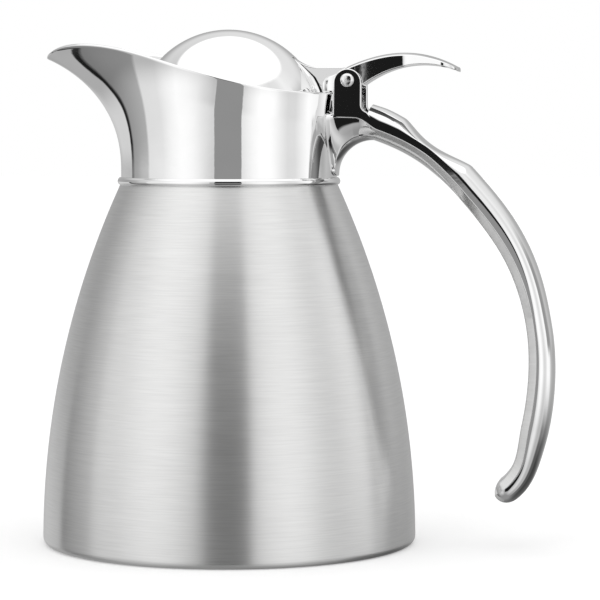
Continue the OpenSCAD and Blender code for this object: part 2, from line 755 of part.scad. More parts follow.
// The foot has a round front edge and runs into the long curve of the back
function lever_top(x) =
    x < lever_back[0][0]
        ? let (t = (lever_back[0][0] - x) / (lever_back[0][0] - lever_nose_x))
          lever_back[0][1] - 1.1 * t - 1.9 * pow(t, 5)
        : curve_z(lever_back, min(x, lever_back[3][0]));
function lever_bottom(x) =
    x < lever_belly[0][0] ? foot_z
        : min(lever_top(x) - tip_t, max(foot_z, curve_z(lever_belly, min(x, lever_belly[3][0]))));

nose_r = 8;          // rounding of the foot's two front corners
corner_r = 5;        // rounding of the pad's two corners
taper = 0.035;       // narrowing of the sides between pin and pad
// Half the width: a rounded nose, sides that taper slightly, and a pad that widens
function lever_half(x) =
    let (n = max(0, lever_front_x - x), e = max(0, x - (lever_tip_x - corner_r)),
         s = max(0, (x - pin_x - pad_start) / (lever_reach - pad_start - corner_r)),
         side = lever_hw - taper * min(pad_start, max(0, x - pin_x)),
         w = mix(side, pad_w / 2, min(1, 1.12 * s * s / (s + 0.12))))
    w - (nose_r - sqrt(nose_r * nose_r - n * n))
      - (corner_r - sqrt(max(0, corner_r * corner_r - e * e)));

function lever_section(x) =
    let (w = lever_half(x), top = lever_top(x), low = lever_bottom(x),
         c = min(1, (top - low) / 3), crown = min(0.8, (top - low) / 3))
    concat([for (i = [-3 : 3]) [x, w * i / 3, top - crown * i * i / 9]],
           [[x, w, low + c], [x, w - c, low], [x, c - w, low], [x, -w, low + c]]);

lever_rows = 44;

module thumb_lever() {
    rows_x = [for (i = [0 : lever_rows])
              mix(lever_nose_x, lever_tip_x, 0.5 - 0.5 * cos(180 * i / lever_rows))];
    color("whitesmoke") difference() {
        loft([for (x = rows_x) lever_section(x)]);
        across(arm_w + 2 * fit) arm_profile(fit);
        at_rivet(rivet_r + press);
        on_pin() cylinder(r = bush_r + press, h = ears_w, center = true);
    }
}

module at_rivet(r) {
    translate([pin_x - 0.62 * foot_len - 1, 0, pin_z - 0.6]) rotate([90, 0, 0])
        cylinder(r = r, h = lever_w - 1.4, center = true);
}

module lever_rivet() {
    color("silver") at_rivet(rivet_r);
}

outer_shell();
inner_liner();
base_plate();
getter_pellet();
vacuum_seal();
base_pad();
pour_collar();
seat_ring();
neck_gasket();
handle();
handle_screws();
screw_seals();
hinge_pin();
hinge_washers();
lid_dome();
lid_plate();
lid_insulation();
plug_body();
lid_gasket();
plug_screw();
thumb_lever();
lever_rivet();
hinge_bush();
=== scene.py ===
import json
import math

import bpy
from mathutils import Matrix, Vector


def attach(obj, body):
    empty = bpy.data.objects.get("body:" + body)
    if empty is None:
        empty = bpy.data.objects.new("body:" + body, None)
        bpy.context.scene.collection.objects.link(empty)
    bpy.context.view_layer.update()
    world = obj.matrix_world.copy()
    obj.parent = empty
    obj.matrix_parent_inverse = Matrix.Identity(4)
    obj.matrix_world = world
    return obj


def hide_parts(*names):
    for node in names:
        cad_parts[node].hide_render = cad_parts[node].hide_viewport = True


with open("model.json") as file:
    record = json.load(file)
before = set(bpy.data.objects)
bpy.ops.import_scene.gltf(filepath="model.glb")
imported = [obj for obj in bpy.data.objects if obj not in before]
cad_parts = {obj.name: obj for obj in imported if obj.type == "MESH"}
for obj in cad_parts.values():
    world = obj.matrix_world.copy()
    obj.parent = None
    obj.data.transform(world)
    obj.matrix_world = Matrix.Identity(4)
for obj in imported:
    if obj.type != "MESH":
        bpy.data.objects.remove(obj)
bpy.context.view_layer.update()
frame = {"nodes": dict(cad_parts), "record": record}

MM = 0.001  # the dimensions below are in millimetres, and the meshes in metres

# ---- dimensions as in the CAD model ----

BASE_R, BODY_H, NECK_R = 57.5, 110.3, 33.4
FOOT_R, FOOT_W, SHELL_T = 2.2, 6.0, 0.7
COLLAR_R, COLLAR_T = 33.1, 1.0
SPIGOT_R, SPIGOT_H = 32.0, 5.0
BEAD_OUT, BEAD_EDGE, LIP_RISE = 1.1, 0.75, 0.35
SPOUT_REACH, SPOUT_PINCH, SPOUT_SWELL, KEEL_BEND = 23.4, 11, 0.3, 0.9
RIM_BACK, RIM_CREST, RIM_TIP = 137.8, 152.3, 148.7
CREST_SHARE, CLIMB_EASE, NOSE_EASE = 0.42, 1.12, 2.3
PIN_X, PIN_Z, PIN_R = 37.6, 142.0, 1.5
EAR_R, EAR_SINK, SLOT_HW = 4.25, 0.75, 6.55
HANDLE_REACH, HANDLE_DROP, HANDLE_H = 65.1, 95.3, 24.2
GRIP_T, CROWN_H, BEVEL_W, GRIP_END_W = 5.4, 2.15, 2.4, 17.0
SCOOP_END, SCOOP_DEPTH, ROOT_SPREAD = 0.885, 3.1, 10.0
DOME_R, DOME_Z, DOME_T = 29.0, 128.65, 0.8
FLANGE_R, FLANGE_Z, FLANGE_T = 31.3, 136.6, 0.8
ARM_HW, ARM_TOP, ARM_FILLET, KNUCKLE_R = 3.5, 146.0, 12.0, 3.5
LEVER_HW, LEVER_REACH, LEVER_RISE, FOOT_LEN = 6.0, 33.2, 8.4, 8.3
PAD_W, TIP_T, FOOT_Z = 18.6, 1.3, 138.45

# ---- dimensions that only the scene has, or that it sets nearer to the photo ----

BEAD_H, BEAD_TOP, FLARE_Z = 1.0, 2.3, 115.2
RIM_CURL, CURL_H = 0.55, 9.5  # the wall leans out a little below the rim
EAR_HW, EAR_FILLET, EAR_FLOOR = 9.45, 2.2, 132.4
GRIP_START, GRIP_HW, TIP_START = 0.205, 9.2, 2.86
SIDE_H, LOW_SIDE_H, BEVEL_H = 2.1, 1.75, 2.3
SCOOP_START, SCOOP_SOFT = 0.405, 0.12
CHEEK_Z, SLOT_FLOOR, SLOT_END = 131.0, 132.3, 43.3
ROOT_LOW, ROOT_END, THROAT_X, THROAT_Z = 113.0, 46.5, 44.5, 123.9
FOOT_HW, THROAT_HW = 5.6, 6.4
ARM_SIDE_FILLET, PAD_START = 2.8, 16.6
RISE_DRAFT = math.tan(math.radians(2.2))  # the castings' flat sides lean in towards the top
PLAN_DRAFT = math.tan(math.radians(3.2))  # and away from the collar

# ---- the studio: directions are measured from the camera, positive towards the spout ----

CAMERA_PLACE = (0.1371, -0.8189, 0.1279)
CAMERA_AIM = (-0.1389, 0.9883, -0.0640)
CAMERA_FOV = 12.69
STUDIO_TURN = 8.0
# brightness round the horizon: two soft boxes, the gap between them, and dark cards beyond
HORIZON = [(-180, 0.44), (-150, 0.46), (-128, 0.60), (-120, 0.34), (-102, 0.32), (-99, 1.06),
           (-92, 1.08), (-84, 0.98), (-75, 0.82), (-66, 0.82), (-57, 0.96), (-46, 1.10),
           (-36, 1.12), (-26, 1.06), (-16, 0.90), (16, 0.74), (26, 0.90), (36, 1.06),
           (46, 1.12), (60, 1.08), (72, 0.96), (92, 0.86), (94, 0.70), (104, 0.62),
           (112, 0.46), (130, 0.36), (150, 0.40), (180, 0.44)]
# brightness just below the horizon, and high up under the overhead panel
GROUND = [(-180, 0.50), (-140, 0.42), (-126, 0.48), (-116, 0.64), (-110, 1.02), (-94, 1.12),
          (-85, 0.94), (-76, 0.77), (-66, 0.77), (-58, 0.90), (-50, 1.10), (-42, 1.16),
          (-34, 1.14), (-27, 1.02), (-20, 0.88), (-16, 0.78), (16, 0.60), (24, 0.76),
          (31, 0.93), (39, 1.04), (50, 1.10), (63, 0.95), (72, 0.82), (92, 0.80), (93.5, 0.46),
          (119, 0.32), (120, 0.02), (124, 0.02), (125, 0.70), (150, 0.68), (180, 0.50)]
UPPER = [(-180, 0.80), (-120, 0.85), (-100, 0.92), (-90, 0.98), (-78, 0.86), (-66, 0.82),
         (-54, 0.92), (-43, 0.95), (-31, 0.90), (-16, 0.78), (16, 0.82), (33, 1.02), (50, 1.08),
         (62, 1.06), (76, 0.94), (90, 0.84), (104, 0.72), (120, 0.66), (180, 0.80)]
# how much of that brightness is left well below the horizon
DEEP = [(-180, 0.40), (-120, 0.10), (-92, 0.10), (-80, 0.64), (180, 0.64)]
GAP = (-14.5, 14.0)
WIDE_GAP = 18.5  # the black strip reaches this far in a low band above the horizon
GAP_GREY, GAP_BLACK, NADIR, OVERHEAD = 0.30, 0.012, 0.30, 1.22
# heights above the horizon, in degrees, between which one level fades into the next
GROUND_FADE, UPPER_FADE, DEEP_FADE, NADIR_FADE = (-3, 1), (14, 34), (-22, -6), (-75, -40)
PANEL_FADE, GAP_FOOT, GAP_TOP = (43, 47), (-42, -34), (40, 30)
GREY_FOOT, GREY_TOP, BAND_FOOT, BAND_TOP = (-14.5, -13), (2.9, 2.3), (2.3, 2.9), (13, 11)
GAP_SOFT, WIDE_SOFT = 0.4, 0.6  # half the width over which the strips' sides fade

# degrees between two faces from which their edge stays creased
SHARP, CAST_SHARP, GRIP_SHARP = 32, 24, 20


def mix(a, b, t):
    return a + (b - a) * t


def clamp01(t):
    return min(1.0, max(0.0, t))


def smooth(t):
    c = clamp01(t)
    return c * c * (3 - 2 * c)


def bezier(c, t):
    u = 1 - t
    return tuple(u**3 * a + 3 * t * u * u * b + 3 * t * t * u * d + t**3 * e
                 for a, b, d, e in zip(*c))


def curve_z(curve, x, halvings=24):
    """Height of a curve that runs from left to right, at a given x."""
    low, high = 0.0, 1.0
    for _ in range(halvings):
        middle = (low + high) / 2
        if bezier(curve, middle)[0] < x:
            low = middle
        else:
            high = middle
    return bezier(curve, (low + high) / 2)[1]


# ---- mesh helpers ----

def skin(name, rings, loop=False, sharp=SHARP):
    """One mesh through rings of equal length, closed into a loop or capped at both ends."""
    m, n = len(rings), len(rings[0])
    faces = []
    for i in range(m if loop else m - 1):
        for j in range(n):
            k = (i + 1) % m
            faces.append((i * n + j, i * n + (j + 1) % n, k * n + (j + 1) % n, k * n + j))
    if not loop:
        faces.append(tuple(reversed(range(n))))
        faces.append(tuple((m - 1) * n + j for j in range(n)))
    mesh = bpy.data.meshes.new(name)
    mesh.from_pydata([tuple(c * MM for c in p) for r in rings for p in r], [], faces)
    mesh.update()
    piece = bpy.data.objects.new(name, mesh)
    bpy.context.scene.collection.objects.link(piece)
    turn_outwards(mesh)
    shade(mesh, sharp)
    return piece


def turn_outwards(mesh):
    volume = 0.0
    for p in mesh.polygons:
        corners = [mesh.vertices[v].co for v in p.vertices]
        for a, b in zip(corners[1:-1], corners[2:]):
            volume += corners[0].dot(a.cross(b))
    if volume < 0:
        mesh.flip_normals()


def shade(mesh, sharp):
    mesh.polygons.foreach_set("use_smooth", [True] * len(mesh.polygons))
    mesh.set_sharp_from_angle(angle=math.radians(sharp))


def lathe(name, profile, steps=288):
    """A closed profile of (radius, height) turned about the vertical axis."""
    rings = [[(r * math.cos(a), r * math.sin(a), z)
              for a in (2 * math.pi * j / steps for j in range(steps))] for r, z in profile]
    return skin(name, rings, loop=True)


def arc(cx, cz, r, start, end, steps):
    return [(cx + r * math.cos(math.radians(mix(start, end, i / steps))),
             cz + r * math.sin(math.radians(mix(start, end, i / steps))))
            for i in range(steps + 1)]


def inset(outline, d):
    """Moves each point of a counter-clockwise outline inwards by d."""
    moved = []
    n = len(outline)
    for i, (x, z) in enumerate(outline):
        (x0, z0), (x1, z1) = outline[i - 1], outline[(i + 1) % n]
        dx, dz = x1 - x0, z1 - z0
        length = math.hypot(dx, dz)
        moved.append((x - d * dz / length, z + d * dx / length))
    return moved


def plate(name, outline, y_low, y_high, edge, low_edge=0.0, side=1, lean=None, steps=5):
    """An outline in x and z, extruded along y, with its edges rounded."""
    levels = []
    if low_edge:
        levels += [(y_low + low_edge * (1 - math.cos(a)), low_edge * (1 - math.sin(a)))
                   for a in (math.pi / 2 * i / steps for i in range(steps + 1))]
    else:
        levels.append((y_low, 0.0))
    levels += [(y_high - edge * (1 - math.sin(a)), edge * (1 - math.cos(a)))
               for a in (math.pi / 2 * i / steps for i in range(steps + 1))]
    rings = [[(x, side * (y - (lean(x, z) if lean and y > y_low + 1 else 0.0)), z)
              for x, z in inset(outline, d)] for y, d in levels]
    return skin(name, rings)


def flatten_normals(piece):
    """Lets the large flat faces set the normals, so that only the rounded edges bend them."""
    modifier = piece.modifiers.new("normals", "WEIGHTED_NORMAL")
    modifier.weight = 80
    modifier.keep_sharp = True
    bpy.context.view_layer.objects.active = piece
    bpy.ops.object.modifier_apply(modifier=modifier.name)
    return piece


def join(pieces, name):
    for o in bpy.context.selected_objects:
        o.select_set(False)
    for o in pieces:
        o.select_set(True)
    bpy.context.view_layer.objects.active = pieces[0]
    bpy.ops.object.join()
    pieces[0].name = name
    return pieces[0]


def cut(piece, tool):
    """Takes a solid out of a piece."""
    modifier = piece.modifiers.new("cut", "BOOLEAN")
    modifier.operation = "DIFFERENCE"
    modifier.solver = "EXACT"
    modifier.object = tool
    bpy.context.view_layer.objects.active = piece
    bpy.ops.object.modifier_apply(modifier=modifier.name)
    bpy.data.objects.remove(tool)
    shade(piece.data, SHARP)
    return piece


def block(name, low, high):
    (x0, y0, z0), (x1, y1, z1) = low, high
    return skin(name, [[(x0, y0, z), (x1, y0, z), (x1, y1, z), (x0, y1, z)] for z in (z0, z1)])


# ---- shader helpers ----

class Nodes:
    """A node tree with short calls for the nodes that the materials use."""

    def __init__(self, tree):
        self.tree = tree
        tree.nodes.clear()

    def add(self, kind, **settings):
        node = self.tree.nodes.new("ShaderNode" + kind)
        for key, value in settings.items():
            setattr(node, key, value)
        return node

    def link(self, source, target):
        self.tree.links.new(source, target)

    def math(self, operation, a, b=None):
        node = self.add("Math", operation=operation)
        for socket, value in zip(node.inputs, (a, b)):
            if value is None:
                continue
            if isinstance(value, (int, float)):
                socket.default_value = value
            else:
                self.link(value, socket)
        return node.outputs[0]

    def between(self, value, low, high, to_low=0.0, to_high=1.0, kind="SMOOTHSTEP"):
        node = self.add("MapRange", interpolation_type=kind)
        self.link(value, node.inputs["Value"])
        for key, number in (("From Min", low), ("From Max", high),
                            ("To Min", to_low), ("To Max", to_high)):
            node.inputs[key].default_value = number
        return node.outputs["Result"]

    def blend(self, share, a, b):
        node = self.add("Mix", data_type="FLOAT")
        for socket, value in zip(node.inputs[0:1] + node.inputs[2:4], (share, a, b)):
            if isinstance(value, (int, float)):
                socket.default_value = value
            else:
                self.link(value, socket)
        return node.outputs[0]

    def noise(self, vector, scale, detail=3.0):
        node = self.add("TexNoise")
        self.link(vector, node.inputs["Vector"])
        node.inputs["Scale"].default_value = scale
        node.inputs["Detail"].default_value = detail
        return node.outputs["Fac"]

    def ramp(self, value, stops):
        node = self.add("ValToRGB")
        ramp = node.color_ramp
        while len(ramp.elements) < len(stops):
            ramp.elements.new(0.5)
        for element, (place, colour) in zip(ramp.elements, stops):
            element.position = place
            element.color = (*colour, 1.0)
        self.link(value, node.inputs["Fac"])
        return node.outputs["Color"]


BROAD_GRAIN = 1 / 60.0  # metres; the slow change of roughness over every finish
NOISE_LOW, NOISE_HIGH = 0.3, 0.7  # most of a noise lies between these
BUMP_SHARE = 0.2  # height of a finish's bumps, as a share of their grain


def material(name, colour, shade_range, metallic, roughness, rough_range, grain,
             bump, stretch=(1, 1, 1), **sockets):
    """A finish whose colour, roughness and height vary with a noise of one grain size."""
    made = bpy.data.materials.new(name)
    made.use_nodes = True
    nodes = Nodes(made.node_tree)
    out = nodes.add("OutputMaterial")
    shader = nodes.add("BsdfPrincipled")
    nodes.link(shader.outputs[0], out.inputs["Surface"])
    place = nodes.add("TexCoord").outputs["Object"]
    stretched = nodes.add("Mapping")
    stretched.inputs["Scale"].default_value = stretch
    nodes.link(place, stretched.inputs["Vector"])
    fine = nodes.noise(stretched.outputs["Vector"], 1 / (grain * MM))
    broad = nodes.noise(place, 1 / BROAD_GRAIN)
    low = tuple(c * (1 - shade_range) for c in colour)
    high = tuple(min(1.0, c * (1 + shade_range)) for c in colour)
    nodes.link(nodes.ramp(fine, [(NOISE_LOW, low), (NOISE_HIGH, high)]),
               shader.inputs["Base Color"])
    varied = nodes.blend(0.5, fine, broad)
    nodes.link(nodes.between(varied, NOISE_LOW, NOISE_HIGH, roughness - rough_range,
                             roughness + rough_range, "LINEAR"), shader.inputs["Roughness"])
    raised = nodes.add("Bump")
    raised.inputs["Strength"].default_value = bump
    raised.inputs["Distance"].default_value = grain * MM * BUMP_SHARE
    nodes.link(fine, raised.inputs["Height"])
    nodes.link(raised.outputs["Normal"], shader.inputs["Normal"])
    shader.inputs["Metallic"].default_value = metallic
    for key, value in sockets.items():
        shader.inputs[key.replace("_", " ")].default_value = value
    return made, nodes, shader


def brushed(name, colour):
    """Hairlines that run round the vertical axis, so that highlights spread up and down."""
    made, nodes, shader = material(name, colour, shade_range=0.05, metallic=1.0,
                                   roughness=0.33, rough_range=0.03, grain=0.35, bump=0.10,
                                   stretch=(0.03, 0.03, 1.0),
                                   Anisotropic=0.88, Anisotropic_Rotation=0.25)
    tangent = nodes.add("Tangent", direction_type="RADIAL", axis="Z")
    nodes.link(tangent.outputs[0], shader.inputs["Tangent"])
    return made


# each finish: name, colour, its range, metallic, roughness, its range, grain in mm, bump
FINISHES = {
    "brushed_body": brushed("brushed_body", (0.79, 0.79, 0.785)),
    "polished_steel": material("polished_steel", (0.90, 0.90, 0.90), 0.01, 1.0,
                               0.030, 0.010, 6.0, 0.012)[0],
    "polished_cast": material("polished_cast", (0.89, 0.89, 0.89), 0.01, 1.0,
                              0.035, 0.010, 6.0, 0.010)[0],
    "liner_steel": material("liner_steel", (0.66, 0.66, 0.655), 0.05, 1.0, 0.30, 0.05, 0.8, 0.12,
                            stretch=(0.1, 0.1, 1.0))[0],
    "screw_steel": material("screw_steel", (0.82, 0.82, 0.82), 0.06, 1.0, 0.16, 0.08, 0.9, 0.5)[0],
    "getter": material("getter", (0.20, 0.20, 0.21), 0.15, 0.8, 0.70, 0.1, 0.5, 0.6)[0],
    "rubber_pad": material("rubber_pad", (0.035, 0.035, 0.036), 0.2, 0.0, 0.75, 0.08, 0.6, 0.4)[0],
    "silicone": material("silicone", (0.48, 0.48, 0.46), 0.06, 0.0, 0.50, 0.06, 1.2, 0.15)[0],
    "nylon": material("nylon", (0.07, 0.07, 0.07), 0.1, 0.0, 0.45, 0.06, 0.8, 0.15)[0],
    "foam": material("foam", (0.80, 0.76, 0.64), 0.08, 0.0, 0.90, 0.05, 0.7, 0.8)[0],
    "black_plastic": material("black_plastic", (0.02, 0.02, 0.021), 0.15, 0.0,
                              0.38, 0.05, 0.5, 0.2)[0],
}


def dress(piece, body, slot, *nodes):
    """Gives a piece its finish and its body, and lets it stand for CAD nodes."""
    piece.data.materials.clear()
    piece.data.materials.append(FINISHES[slot])
    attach(piece, body)
    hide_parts(*nodes)
    return piece


# ---- body ----

def make_body():
    """The shell: a rounded foot, one arc up to the neck, and the spigot that takes the collar."""
    rho = (BODY_H**2 + (BASE_R - NECK_R) ** 2) / (2 * (BASE_R - NECK_R))
    axis_x = BASE_R - rho
    hole_r = BASE_R - FOOT_R - FOOT_W

    def side(inset_by, corner, top, steps):
        """The rounded bottom edge and the side above it, at a distance inside the surface."""
        r = rho - inset_by
        cz = inset_by + corner
        cx = axis_x + math.sqrt((r - corner) ** 2 - cz**2)
        turn = math.degrees(math.atan2(cz, cx - axis_x))
        top_turn = math.degrees(math.asin(top / r))
        return (arc(cx, cz, corner, -90, turn, 12)
                + arc(axis_x, 0, r, turn, top_turn, steps)[1:])

    outside = [(hole_r, 0.0)] + side(0.0, FOOT_R, BODY_H, 110)
    spigot = [(SPIGOT_R, BODY_H), (SPIGOT_R, BODY_H + SPIGOT_H),
              (SPIGOT_R - SHELL_T, BODY_H + SPIGOT_H), (SPIGOT_R - SHELL_T, BODY_H - SHELL_T)]
    inside = side(SHELL_T, FOOT_R - SHELL_T, BODY_H - SHELL_T, 60)[::-1] + [(hole_r, SHELL_T)]
    return lathe("body_shell", outside + spigot + inside, steps=360)


# ---- pour collar ----

def spout_share(a):
    """How much of the spout's reach the wall has at an angle from the spout's middle."""
    c = max(0.0, math.cos(a))
    return (1 - SPOUT_SWELL) * c**SPOUT_PINCH + SPOUT_SWELL * c * c


def rim_z(x):
    """The rim climbs from the hinge to a crest and dips again to the spout's tip."""
    crest_x = -(COLLAR_R + SPOUT_REACH * CREST_SHARE)
    lip_x = -(COLLAR_R + SPOUT_REACH)
    t = clamp01((COLLAR_R - x) / (COLLAR_R - crest_x)) ** CLIMB_EASE
    nose = max(0.0, (crest_x - x) / (crest_x - lip_x))
    return mix(RIM_BACK, RIM_CREST, smooth(t)) - (RIM_CREST - RIM_TIP) * nose**NOSE_EASE


def collar_point(a, s):
    """A point on the outer face at an angle, from the bead at 0 to the rim at 1."""
    rise = (1 - math.sqrt(1 - (KEEL_BEND * s) ** 2)) / (1 - math.sqrt(1 - KEEL_BEND**2))
    top = rim_z(-(COLLAR_R + SPOUT_REACH * spout_share(a)) * math.cos(a))
    z = mix(FLARE_Z, top, s)
    curl = RIM_CURL * max(0.0, 1 - (top - z) / CURL_H) ** 2 * (1 - spout_share(a)) ** 3
    r = COLLAR_R + SPOUT_REACH * spout_share(a) * rise + curl
    return Vector((-r * math.cos(a), r * math.sin(a), z))


def collar_frame(a, s, near=0.001):
    """A point on the outer face, the way up along the wall, and the way out of it."""
    up = (collar_point(a, s + near) - collar_point(a, s - near)).normalized()
    along = collar_point(a + near, s) - collar_point(a - near, s)
    return collar_point(a, s), up, up.cross(along).normalized()


def make_collar():
    """The bead, the outer face, the rolled lip and the inner face, as rings from below."""
    around, quarter, rows, lip_steps, inner_rows = 288, 12, 64, 8, 40
    angles = [2 * math.pi * j / around for j in range(around)]

    def circle(r, z):
        return [(-r * math.cos(a), r * math.sin(a), z) for a in angles]

    rings = [circle(COLLAR_R + BEAD_OUT - BEAD_EDGE + BEAD_EDGE * math.sin(a),
                    BODY_H + BEAD_H * (1 - math.cos(a)))
             for a in (math.pi / 2 * i / quarter for i in range(quarter + 1))]
    for a in (math.pi / 2 * i / quarter for i in range(1, quarter + 1)):
        rings.append(circle(COLLAR_R + BEAD_OUT * math.cos(a),
                            BODY_H + BEAD_H + (BEAD_TOP - BEAD_H) * math.sin(a)))
    top = [collar_frame(a, 1.0) for a in angles]
    for i in range(rows + 1):
        rings.append([tuple(collar_point(a, i / rows)) for a in angles])
    for i in range(1, lip_steps):
        turn = math.pi * i / lip_steps
        rings.append([tuple(p - n * COLLAR_T / 2 * (1 - math.cos(turn))
                            + u * LIP_RISE * COLLAR_T * math.sin(turn)) for p, u, n in top])
    for i in range(inner_rows + 1):
        row = [collar_frame(a, 1 - i / inner_rows) for a in angles]
        rings.append([tuple(p - n * COLLAR_T) for p, u, n in row])
    rings.append(circle(COLLAR_R - COLLAR_T, BODY_H))
    return skin("collar_polished", rings, loop=True)


# ---- handle ----

def hp(x, z):
    """A point of the handle, from shares of its reach and its height."""
    return (COLLAR_R + HANDLE_REACH * x, BODY_H - HANDLE_DROP + (HANDLE_DROP + HANDLE_H) * z)


SHOULDER = [
    [hp(0.00, 1.000), hp(0.28, 0.970), hp(0.50, 0.918), hp(0.672, 0.795)],
    [hp(0.672, 0.795), hp(0.89, 0.650), hp(1.00, 0.490), hp(1.00, 0.330)],
    [hp(1.00, 0.330), hp(1.00, 0.190), hp(0.935, 0.028), hp(0.762, -0.002)]]


def spine(t):
    """The grip's middle line, from 0 at the collar to 3 at the tip."""
    i = min(2, int(t))
    return bezier(SHOULDER[i], t - i)


def spine_out(t, near=0.01):
    """The way out of the grip, square to its middle line."""
    (x0, z0), (x1, z1) = spine(max(0.0, t - near)), spine(min(3.0, t + near))
    length = math.hypot(x1 - x0, z1 - z0)
    return (-(z1 - z0) / length, (x1 - x0) / length)


def bump(x):
    """A smooth hump of height 1 between -1 and 1."""
    return max(0.0, 1 - x * x) ** 2


# In the next three functions each term is a height in millimetres, times a share that depends
# on where along the grip it starts or stands, and over what length it fades.

def crown(t):
    """Height of the grip's outer face above the spine, with the scoop under the lever's tip."""
    at_bend = 0.9 * bump((t - 1.32) / 0.45)
    at_tip = 0.9 * smooth((t - 2.45) / 0.35)
    at_ears = 0.8 * (1 - smooth((t - 0.26) / 0.2))
    x = clamp01((t - SCOOP_START) / (SCOOP_END - SCOOP_START))
    soft = math.hypot(x, SCOOP_SOFT) - SCOOP_SOFT
    soft /= math.hypot(1, SCOOP_SOFT) - SCOOP_SOFT
    scoop = SCOOP_DEPTH * math.sin(math.pi * soft**0.8)
    return CROWN_H + at_bend + at_tip + at_ears - scoop


def depth(t):
    """Depth of the grip's inner face below the spine."""
    at_root = 1.6 * (1 - smooth((t - 0.7) / 0.75))
    at_bend = 0.5 * bump((t - 1.5) / 0.5)
    below_bend = 0.6 * smooth((t - 1.8) / 0.6)
    at_tip = 1.6 * smooth((t - 2.35) / 0.35)
    return GRIP_T + at_root - at_bend + below_bend - at_tip


def flat_edges(t):
    """The flat side's upper and lower edge, as depths below the spine."""
    at_root = 0.8 * (1 - smooth((t - 0.6) / 0.4))
    at_ears = 1.1 * (1 - smooth((t - 0.19) / 0.1))
    low = depth(t) - BEVEL_H - at_root - at_ears
    fade = 1 - smooth((t - 1.2) / 0.65)
    width = mix(SIDE_H, LOW_SIDE_H, smooth((t - 0.6) / 0.25)) * fade
    return low - max(0.06, width), low


def cheek_lean(x, z):
    """How far the ears' outer faces lean in from their widest place."""
    behind = 0.03 * max(0.0, x - 44)
    return PLAN_DRAFT * (x - PIN_X) + RISE_DRAFT * (z - CHEEK_Z) + behind


def handle_section(t):
    """The grip's outline across its spine: crown, flat sides, bevels and inner face."""
    crown_steps, inner_steps, middle = 24, 10, -1.2
    (px, pz), (qx, qz) = spine(t), spine_out(t)
    w = mix(GRIP_HW, GRIP_END_W / 2, clamp01(t / 3))
    top, (high, low), deep = crown(t), flat_edges(t), depth(t)
    tip = max(0.0, (t - TIP_START) / (3 - TIP_START))
    closing = math.sqrt(max(0.002, 1 - tip**2))
    w *= mix(0.35, 1, closing)
    lean = (low - high) * RISE_DRAFT * 1.3
    under = 1.7 * (1 - smooth((t - 0.5) / 0.7))
    half = []
    for i in range(crown_steps + 1):
        a = math.pi / 2 * (i / crown_steps) ** 0.8
        half.append(((w - lean) * math.sin(a), -high + (top + high) * math.cos(a)))
    e = min(0.28, (low - high) / 3)
    inner_w, inner = w - BEVEL_W - 0.1, -deep + under - 0.1
    half += [(w - e * RISE_DRAFT, -low + e), (w - 0.3 * e, -low + 0.3 * e),
             (w - 0.3, -low - 0.12), (inner_w + 0.3, inner + 0.25), (inner_w, inner)]
    half += [(inner_w * math.cos(a), inner - (under + 0.25) * math.sin(a))
             for a in (math.pi / 2 * i / inner_steps for i in range(1, inner_steps + 1))]
    ring = half[1:] + [(-y, n) for y, n in reversed(half[:-1])]
    return [(px + qx * k, y, pz + qz * k)
            for y, k in ((y, middle + (n - middle) * closing) for y, n in ring)]


def make_grip():
    """The grip, in rows that gather over the last share of its length."""
    rows, last = 220, 0.07
    rings = []
    for i in range(rows + 1):
        u = i / rows
        if u > 1 - last:
            u = 1 - last + last * math.sin(math.pi / 2 * (u - 1 + last) / last)
        rings.append(handle_section(mix(GRIP_START, 3, u)))
    return flatten_normals(skin("grip", rings, sharp=GRIP_SHARP))


def make_ears():
    """The two ears: upright cheeks round the pin that run on into the grip's flat sides."""
    front, back, top_z = PIN_X - EAR_R, PIN_X + EAR_R + EAR_FILLET, PIN_Z - EAR_SINK
    foot_z = CHEEK_Z - 0.55
    outline = [(front, CHEEK_Z - 0.2), (front, top_z)]
    outline += arc(PIN_X, top_z, EAR_R, 180, 0, 40)[1:]
    outline += arc(back, EAR_FLOOR + EAR_FILLET, EAR_FILLET, 180, 255, 12)
    outline += [(44.7, 131.1), (46.0, 130.0), (47.5, 129.1), (50.0, 127.9), (50.0, 126.3),
                (47.5, 126.9), (46.0, 127.3), (45.0, 127.75), (44.0, 128.45), (43.0, 129.2),
                (42.0, 129.85), (40.5, foot_z)]
    outline.reverse()
    return [flatten_normals(plate("ear", outline, SLOT_HW, EAR_HW, 0.4, 0.3, side, cheek_lean))
            for side in (-1, 1)]


def root_under(x):
    """Height of the root's lowest line, a fillet from the collar to the grip."""
    back = clamp01((THROAT_X - x) / (THROAT_X - COLLAR_R - 0.15))
    return mix(ROOT_LOW, THROAT_Z, math.sqrt(1 - back**2))


